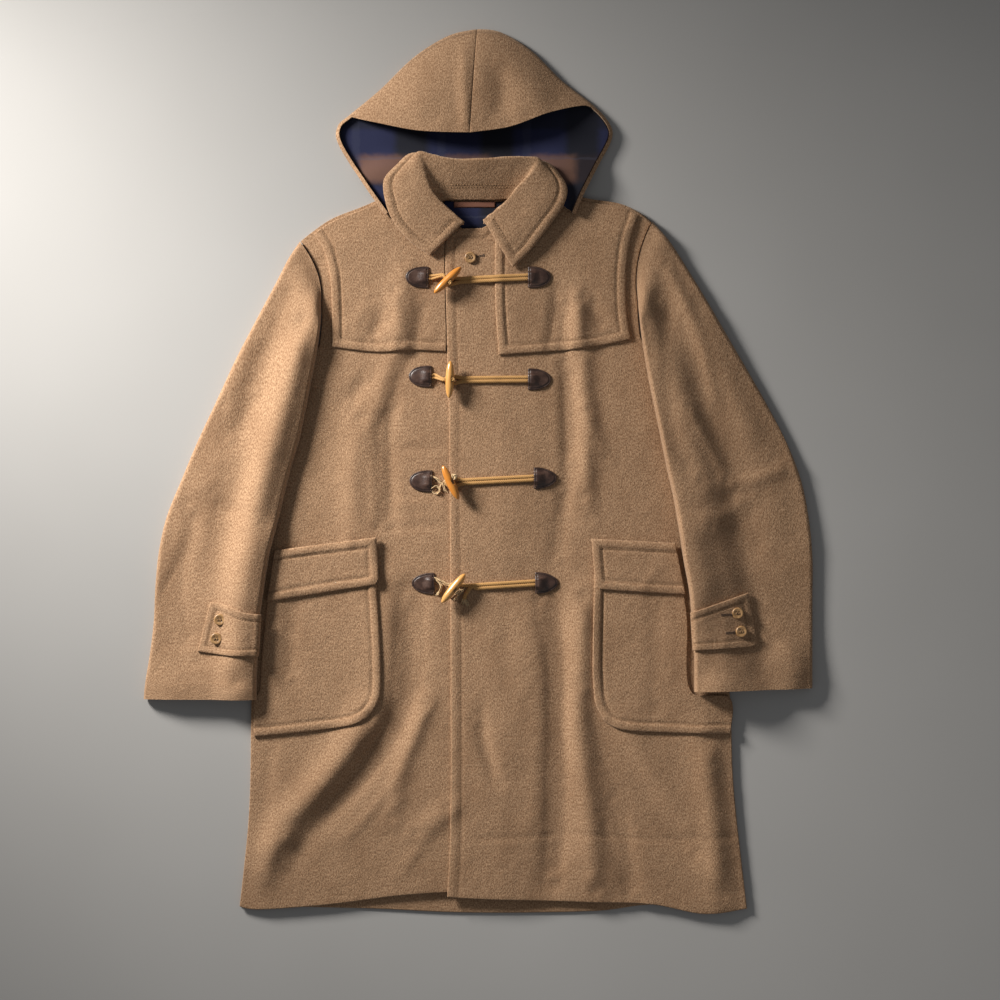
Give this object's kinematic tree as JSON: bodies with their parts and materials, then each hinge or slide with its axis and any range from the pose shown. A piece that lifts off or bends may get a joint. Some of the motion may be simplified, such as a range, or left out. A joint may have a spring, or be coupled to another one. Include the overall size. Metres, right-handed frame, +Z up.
{
  "type": "duffle coat",
  "caption": "Hooded wool duffle coat laid flat, face up, with shoulder yokes, flapped patch pockets, cuff tabs and toggles in cord loops.",
  "frame": {"origin": "on the surface the coat lies on, under the middle of its box", "axes": "+Z up out of the surface, +Y from the hem towards the hood, +X towards the coat's own left side"},
  "size_m": [0.9198, 1.2187, 0.034],
  "materials": {
    "wool": "thick camel wool melton with a short nap",
    "lining": "woven navy and brown check with a slight sheen",
    "strip": "plain red-brown woven tape",
    "leather": "smooth dark brown leather with a soft gloss",
    "cord": "golden tan braid, matt",
    "horn": "polished honey-coloured horn",
    "button": "satin camel horn"
  },
  "bodies": {
    "root": {"back": "wool", "front_right": "wool", "front_left": "wool", "yoke_right": "wool", "yoke_left": "wool", "pocket_right": "wool", "pocket_left": "wool", "flap_right": "wool", "flap_left": "wool", "neck_lining": "lining", "neck_strip": "strip", "sleeve_right": "wool", "sleeve_left": "wool", "cuff_tab_right": "wool", "cuff_tab_left": "wool", "cuff_button_right_1": "button", "cuff_button_right_2": "button", "cuff_button_left_1": "button", "cuff_button_left_2": "button", "neck_button": "button", "hood_right": "wool", "hood_left": "wool", "hood_lining": "lining", "collar": "wool", "patch_right_1": "leather", "patch_right_2": "leather", "patch_right_3": "leather", "patch_right_4": "leather", "patch_left_1": "leather", "patch_left_2": "leather", "patch_left_3": "leather", "patch_left_4": "leather", "loop_cord_1": "cord", "loop_cord_2": "cord", "loop_cord_3": "cord", "loop_cord_4": "cord", "toggle_cord_1": "cord", "toggle_cord_2": "cord", "toggle_cord_3": "cord", "toggle_cord_4": "cord", "toggle_1": "horn", "toggle_2": "horn", "toggle_3": "horn", "toggle_4": "horn"}
  },
  "joints": []
}
